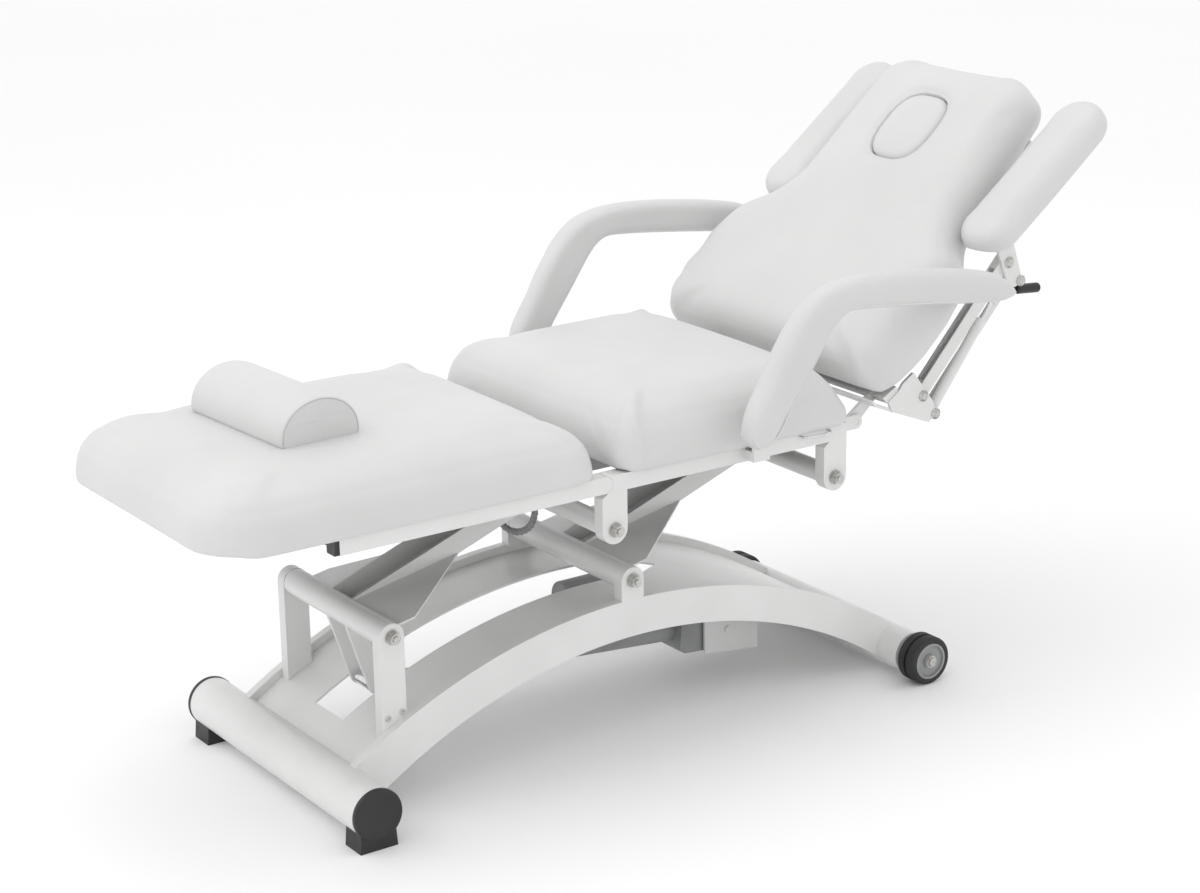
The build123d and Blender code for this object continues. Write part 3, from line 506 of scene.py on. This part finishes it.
leg_outline = rounded_path(
    [tuple(at(x, y, 0))[:2] for x, y in ((-926, -311), (-181, -311), (-181, 311), (-926, 311))],
    [0.110, 0.045, 0.045, 0.110],
)
leg_pad = piece(
    "leg_pad",
    cushion(
        leg_outline, low=cushion_low, widest=0.573, high=0.646, upper_reach=0.066, lower_reach=0.014,
        cap=0.010, voxel=0.008, crown=0.009, power=2.1, shape=over_rails,
    ),
    "white_leatherette",
    "leg",
)
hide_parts("leg_cushion")


def seat_shape(points):
    """Draws the seat's back end in as it rises, where the backrest's lower end rests on it."""
    share = np.clip((points[:, 2] - 0.575) / 0.085, 0, 1)
    near_end = np.clip((points[:, 0] - at(180, 0, 0).x) / 0.19, 0, 1)
    points[:, 0] -= 0.038 * share * near_end * near_end
    return over_rails(points)


seat_outline = rounded_path(
    [tuple(at(x, y, 0))[:2] for x, y in ((-149, -311), (378, -311), (378, 311), (-149, 311))],
    [0.050, 0.050, 0.050, 0.050],
)
seat_pad = piece(
    "seat_pad",
    cushion(
        seat_outline, low=cushion_low, widest=0.576, high=0.660, upper_reach=0.062, lower_reach=0.014,
        cap=0.010, voxel=0.008, crown=0.010, power=2.1, shape=seat_shape,
    ),
    "white_leatherette",
    "seat",
)
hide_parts("seat_cushion")

# ---- backrest, with its face hole and plug ----
half_widths = [
    (40, 300), (80, 332), (141, 344), (235, 344), (325, 322), (378, 262), (432, 233), (531, 226),
    (641, 216), (718, 208), (753, 150),
]
back_corners = [(s / 1000, -y / 1000) for s, y in half_widths] + [
    (s / 1000, y / 1000) for s, y in reversed(half_widths)
]
back_radii = [0.03, 0.09, 0.09, 0.09, 0.10, 0.10, 0.12, 0.1, 0.1, 0.05, 0.07]
back_outline = rounded_path(back_corners, back_radii + back_radii[::-1], 8)
hole_s, hole_half_s, hole_half_y, hole_fullness = 0.567, 0.082, 0.073, 0.72
back_place = slanted(back_hinge, back_angle)


def oval(turn, half_s, half_y):
    """Point of the face hole's outline about its middle: an oval a little fuller than an ellipse."""
    across, along = math.sin(turn), math.cos(turn)
    return (math.copysign(abs(along) ** hole_fullness, along) * half_s,
            math.copysign(abs(across) ** hole_fullness, across) * half_y)


def sink(points, half_s, half_y, depth, width):
    """Lowers the surface into a soft valley along the face hole's edge."""
    share = 2 / hole_fullness
    around = (np.abs((points[:, 0] - hole_s) / half_s) ** share + np.abs(points[:, 1] / half_y) ** share)
    off = np.abs(around ** (1 / share) - 1) * (half_s + half_y) / 2
    points[:, 2] -= depth * np.exp(-((off / width) ** 2)) * (points[:, 2] > 0.085)
    return points


def oval_column(half_s, half_y, low, high, segments=96):
    """Tall oval column through the face hole."""
    shape = bmesh.new()
    ring = [oval(2 * math.pi * k / segments, half_s, half_y) for k in range(segments)]
    bottom = [shape.verts.new((hole_s + s, y, low)) for s, y in ring]
    top = [shape.verts.new((hole_s + s, y, high)) for s, y in ring]
    skin(shape, [bottom, top])
    shape.faces.new(list(reversed(bottom)))
    shape.faces.new(top)
    return mesh_of(shape, "column")


def cut(mesh, tool):
    """The mesh with the tool's volume taken away."""
    cutter = bpy.data.objects.new("cutter", tool)
    bpy.context.collection.objects.link(cutter)
    result = applied(mesh, ("BOOLEAN", {"operation": "DIFFERENCE", "object": cutter, "solver": "EXACT"}))
    bpy.data.objects.remove(cutter)
    return result


def reshaped(mesh, change):
    """The mesh with its points moved by a function."""
    mesh.vertices.foreach_set("co", change(points_of(mesh)).ravel())
    mesh.update()
    return mesh


back_mesh = cushion(
    back_outline, low=0.0165, widest=0.050, high=0.114, upper_reach=0.046, lower_reach=0.030, cap=0.010,
    voxel=0.008, crown=0.006, power=2.3,
)
back_mesh = cut(back_mesh, oval_column(hole_half_s, hole_half_y, -0.05, 0.20))
back_mesh = reshaped(back_mesh, lambda points: sink(points, hole_half_s, hole_half_y, 0.007, 0.009))
back_pad = piece("back_pad", moved_mesh(back_mesh, back_place), "white_leatherette", "back")
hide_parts("back_cushion")


def plug_mesh():
    """Crowned oval plug, skinned from its base up over a rounded edge."""
    plug_gap = 0.0018
    profile = [
        (1.0, 0.047), (1.0, 0.100), (0.997, 0.110), (0.985, 0.117), (0.95, 0.1225), (0.88, 0.1265),
        (0.76, 0.1290), (0.58, 0.1305), (0.36, 0.1312), (0.14, 0.1315),
    ]
    shape = bmesh.new()
    segments = 72
    rings = []
    for share, height in profile:
        ring = [
            oval(
                2 * math.pi * k / segments,
                (hole_half_s - plug_gap) * share,
                (hole_half_y - plug_gap) * share,
            )
            for k in range(segments)
        ]
        rings.append([shape.verts.new((hole_s + s, y, height)) for s, y in ring])
    skin(shape, rings)
    shape.faces.new(list(reversed(rings[0])))
    shape.faces.new(rings[-1])
    return applied(mesh_of(shape, "plug"), subdivided)


plug_pad = piece("plug_pad", moved_mesh(plug_mesh(), back_place), "white_leatherette", "face_plug")
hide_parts("face_plug")

# ---- head wings ----
wing_place = slanted(wing_pad_top, wing_pad_angle, -293.5)
wing_outline = rounded_path(
    [(-0.186, -0.0585), (0.193, -0.0585), (0.193, 0.0585), (-0.186, 0.0585)], [0.058] * 4, 12
)


def heel(points):
    """Rounds the underside away at the lower end, as the frame needs when it folds."""
    rise = np.clip((-0.128 - points[:, 0]) / 0.062, 0, 1)
    points[:, 2] = np.maximum(points[:, 2], -0.060 + 0.036 * rise * rise)
    return points


wing_mesh = cushion(
    wing_outline, low=-0.0600, widest=-0.034, high=-0.002, upper_reach=0.026, lower_reach=0.020, cap=0.004,
    voxel=0.005, crown=0.002, power=2.3, shape=heel,
)
wing_mesh = moved_mesh(wing_mesh, wing_place)
for mesh, hand in ((wing_mesh, "right"), (mirrored(wing_mesh), "left")):
    wing_pad = piece(f"head_wing_{hand}", mesh, "white_leatherette", f"wing_head_{hand}")
    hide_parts(f"wing_pad_{hand}")

# ---- armrests ----
armrest_top = [
    (67, 596), (72, 640), (106, 700), (140, 757), (179, 806), (225, 838), (289, 852), (379, 851),
    (472, 841), (566, 826), (640, 806), (682, 770),
]
armrest_under = [
    (655, 755), (586, 760), (444, 778), (343, 789), (283, 790), (252, 768), (206, 705), (160, 642),
    (118, 586), (88, 576),
]
armrest_place = Matrix(((1, 0, 0, 0), (0, 0, -1, -0.346), (0, 1, 0, 0), (0, 0, 0, 1)))
armrest_outline = smooth_path([(at(x, 0, z).x, at(x, 0, z).z) for x, z in armrest_top + armrest_under])
armrest_mesh = cushion(
    armrest_outline, low=0.002, widest=0.027, high=0.051, upper_reach=0.020, lower_reach=0.018, cap=0.004,
    voxel=0.005, power=2.3,
)
armrest_mesh = moved_mesh(armrest_mesh, armrest_place)
piping_xz = [
    (72, 603), (88, 584), (118, 594), (154, 646), (201, 711), (247, 775), (283, 797), (343, 796),
    (444, 785), (531, 776), (610, 768), (660, 768),
]
for mesh, hand, way in ((armrest_mesh, "right", -1), (mirrored(armrest_mesh), "left", 1)):
    rest_pad = piece(f"arm_pad_{hand}", mesh, "white_leatherette", f"armrest_{hand}")
    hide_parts(f"armrest_{hand}")
    for label, y in (("outer", 391), ("inner", 355)):
        points = [at(x, way * y, z) for x, z in piping_xz]
        # The piping's lighter finish is painted highlight.
        wire(f"arm_piping_{label}_{hand}", points, 0.0021, "piping", f"armrest_{hand}")

# ---- bolster ----
bolster_centre, bolster_yaw, bolster_base = (-632, 28), 3.5, 654
bolster_half, bolster_wide, bolster_waist, bolster_tall = 0.1485, 0.0780, 0.022, 0.0645


def bolster_section(turn, size):
    """Point of the bolster's section: a half round on a shallow, soft-cornered underside."""
    sideways, height = math.cos(turn), math.sin(turn)
    if height >= 0:
        return sideways * bolster_wide * size, bolster_waist + height * bolster_tall * size
    fuller = math.copysign(abs(sideways) ** 0.7, sideways)
    return fuller * bolster_wide * size, bolster_waist * (1 - abs(height) ** 0.6)


def bolster_mesh():
    """Half-round bolster skinned along its length, with drawn-in ends and gathered end panels."""
    shape = bmesh.new()
    segments = 64
    stations = [(-1.0, 0.90), (-0.997, 0.945), (-0.988, 0.975), (-0.97, 0.992), (-0.93, 1.0)]
    stations += [(k / 12, 1.0 + 0.006 * math.cos(k / 12 * math.pi / 2)) for k in range(-10, 11)]
    stations += [(-along, size) for along, size in reversed(stations[:5])]
    rings = []
    for along, size in stations:
        section = [bolster_section(2 * math.pi * k / segments, size) for k in range(segments)]
        rings.append([shape.verts.new((x, along * bolster_half, z)) for x, z in section])
    skin(shape, rings)
    for ring, way in ((rings[0], 1), (rings[-1], -1)):
        # The end panel: rings inside the seam, with upright gathers that fade downwards.
        last = ring
        centre = Vector((0, ring[0].co.y, 0.042))
        for share in (0.94, 0.85, 0.7, 0.5, 0.28, 0.1):
            inner = []
            for vert in ring:
                point = centre.lerp(vert.co, share)
                fade = max(0.0, min(1.0, (point.z - 0.02) / 0.06)) * (1 - share ** 6)
                point.y -= way * 0.0014 * math.sin(point.x * 420) * fade
                point.y -= way * 0.003 * (1 - share * share)
                inner.append(shape.verts.new(point))
            skin(shape, [last, inner])
            last = inner
        shape.faces.new(last)
    bmesh.ops.recalc_face_normals(shape, faces=shape.faces)
    return applied(mesh_of(shape, "bolster"), subdivided)


bolster_place = Matrix.Translation(at(*bolster_centre, bolster_base))
bolster_place = bolster_place @ Matrix.Rotation(math.radians(bolster_yaw), 4, "Z")
bolster_skin = moved_mesh(bolster_mesh(), bolster_place)
bolster_pad = piece("bolster_pad", bolster_skin, "white_leatherette", "bolster")
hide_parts("bolster")
for way, label in ((-1, "near"), (1, "far")):
    edge = []
    for k in range(48):
        x, z = bolster_section(2 * math.pi * k / 48, 0.935)
        edge.append(bolster_place @ Vector((x, way * (bolster_half - 0.0004), z)))
    # The thin dark line round each end panel is painted shadow along the seam.
    wire(f"bolster_seam_{label}", edge, 0.0007, "seam_shade", "bolster", cyclic=True)

# ---- supply cable: its line is the route in part.py ----
cable_route = [
    (-125.5, 42, 456),
    (-105, 44, 420),
    (-95, 48, 383),
    (-101, 62, 349),
    (-115, 92, 335),
    (-128, 123, 349),
    (-135, 140, 387),
    (-129, 146, 425),
    (-125.5, 148, 456),
]
lead_radius, wrap_pitch = 0.0058, 0.009
cable_line = bpy.data.curves.new("supply_lead", "CURVE")
cable_line.dimensions = "3D"
cable_line.bevel_depth = lead_radius
cable_line.bevel_resolution = 4
cable_spline = cable_line.splines.new("NURBS")
cable_spline.points.add(len(cable_route) - 1)
for knot, point in zip(cable_spline.points, cable_route):
    knot.co = (*at(*point), 1)
cable_spline.order_u = 3
cable_spline.use_endpoint_u = True
cable_spline.resolution_u = 16
cable_line.use_fill_caps = True
cable_line.materials.append(finishes["grey_plastic"])
cable = bpy.data.objects.new("supply_lead", cable_line)
bpy.context.collection.objects.link(cable)
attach(cable, "front_arm")
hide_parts("supply_cable")


def spiral_wrap():
    """Flat spiral wrap along the lead's own line."""
    bare = cable_line.copy()
    bare.bevel_depth = 0
    holder = bpy.data.objects.new("bare", bare)
    bpy.context.collection.objects.link(holder)
    graph = bpy.context.evaluated_depsgraph_get()
    mesh = bpy.data.meshes.new_from_object(holder.evaluated_get(graph))
    line = [vertex.co.copy() for vertex in mesh.vertices]
    bpy.data.objects.remove(holder)
    travelled, coil = 0.0, []
    steps = 6
    for before, after in zip(line, line[1:]):
        run = after - before
        side = run.cross(Vector((0.3, 1, 0.2))).normalized()
        other = side.cross(run).normalized()
        for k in range(steps):
            along = travelled + run.length * k / steps
            turn = along / wrap_pitch * 2 * math.pi
            outwards = side * math.cos(turn) + other * math.sin(turn)
            coil.append(before + run * k / steps + outwards * lead_radius)
        travelled += run.length
    return wire("supply_lead_wrap", coil, 0.0012, "grey_plastic", "front_arm")


wrap = spiral_wrap()

# ---- small hardware ----
def fastener(name, profile, x, y, z, finish_name, body):
    """Small turned part on an axis across the bed, its profile running outwards from y."""
    return piece(name, lathe(profile, at(x, y, z), (0, math.copysign(1, y), 0)), finish_name, body)


wing_bolt = [
    (-0.034, 0.0056), (0, 0.0056), (0, 0.0105), (0.0016, 0.0105), (0.0018, 0.0072), (0.0052, 0.0072),
    (0.0064, 0.0052), (0.0066, 0.0030),
]
wing_nut = [
    (0, 0.0105), (0.0016, 0.0105), (0.0018, 0.0078), (0.0052, 0.0078), (0.0064, 0.0055), (0.0066, 0.0030),
]
wing_low_pivots, wing_up_pivots = ((545, 572), (576, 532)), ((749.5, 795), (780.5, 755))
screw_head = [(0, 0.0052), (0.0014, 0.0052), (0.0024, 0.0040), (0.0024, 0.0018), (0.0012, 0.0016)]
for hand, way in (("right", -1), ("left", 1)):
    for k, (x, z) in enumerate(wing_low_pivots):
        fastener(f"wing_bolt_{k}_{hand}", wing_bolt, x, way * 290, z, "zinc", "back")
    for k, (x, z) in enumerate(wing_up_pivots):
        fastener(f"wing_nut_{k}_{hand}", wing_nut, x, way * 290, z, "zinc", f"wing_head_{hand}")
    for k, (x, z) in enumerate(((-526, 176), (-554, 170))):
        fastener(f"post_screw_{k}_{hand}", screw_head, x, way * 183, z, "zinc", "base")
    loop_xz = ((254, -2), (254, 10), (262, 15), (308, 15), (316, 10), (316, -2))
    wire(
        f"rail_loop_{hand}",
        [at(x, way * (290 + out), 549) for x, out in loop_xz],
        0.0024,
        "chrome",
        "seat",
    )


def rounded_block(low, high, radius):
    """Block between two corners with rounded edges, in the frame."""
    shape = bmesh.new()
    bmesh.ops.create_cube(shape, size=1)
    middle = (low + high) / 2
    size = high - low
    for vertex in shape.verts:
        vertex.co = middle + Vector(abs(size[k]) * vertex.co[k] for k in range(3))
    return applied(mesh_of(shape, "block"), ("BEVEL", {"width": radius, "segments": 3}))


for hand, way in (("right", -1), ("left", 1)):
    boss = rounded_block(at(132, way * 319, 592), at(160, way * 352, 630), 0.004)
    piece(f"arm_boss_{hand}", boss, "white_paint", f"armrest_{hand}")

# ---- floor, light and background ----
floor_mesh = bpy.data.meshes.new("floor")
floor_mesh.from_pydata([(-40, -40, 0), (40, -40, 0), (40, 40, 0), (-40, 40, 0)], [], [(0, 1, 2, 3)])
floor = bpy.data.objects.new("floor", floor_mesh)
floor_finish, floor_nodes, floor_links, floor_shader, floor_coordinates = tree_of("floor")
floor_tone = ramp(floor_nodes, floor_links, noise(floor_nodes, floor_links, floor_coordinates, 0.6),
                  (0.96, 0.96, 0.96), (0.97, 0.97, 0.97))
floor_links.new(floor_tone, floor_shader.inputs["Base Color"])
floor_shader.inputs["Roughness"].default_value = 0.9
floor_shader.inputs["Specular IOR Level"].default_value = 0.1
floor_mesh.materials.append(floor_finish)
bpy.context.collection.objects.link(floor)

world = bpy.data.worlds.new("studio")
world.use_nodes = True
world.node_tree.nodes["Background"].inputs["Color"].default_value = (1, 1, 1, 1)
world.node_tree.nodes["Background"].inputs["Strength"].default_value = 1.0
bpy.context.scene.world = world
bpy.context.scene.view_settings.view_transform = "Standard"


def area_light(name, place, target, size, power):
    """Soft square light aimed at a point."""
    lamp = bpy.data.lights.new(name, "AREA")
    lamp.shape = "SQUARE"
    lamp.size = size
    lamp.energy = power
    made = bpy.data.objects.new(name, lamp)
    made.location = place
    made.rotation_euler = (Vector(target) - Vector(place)).to_track_quat("-Z", "Y").to_euler()
    bpy.context.collection.objects.link(made)


area_light("key", (-2.6, 0.6, 3.2), (0, 0, 0.5), 2.4, 22)
area_light("overhead", (0.3, 0.2, 3.6), (0, 0, 0.6), 2.6, 12)
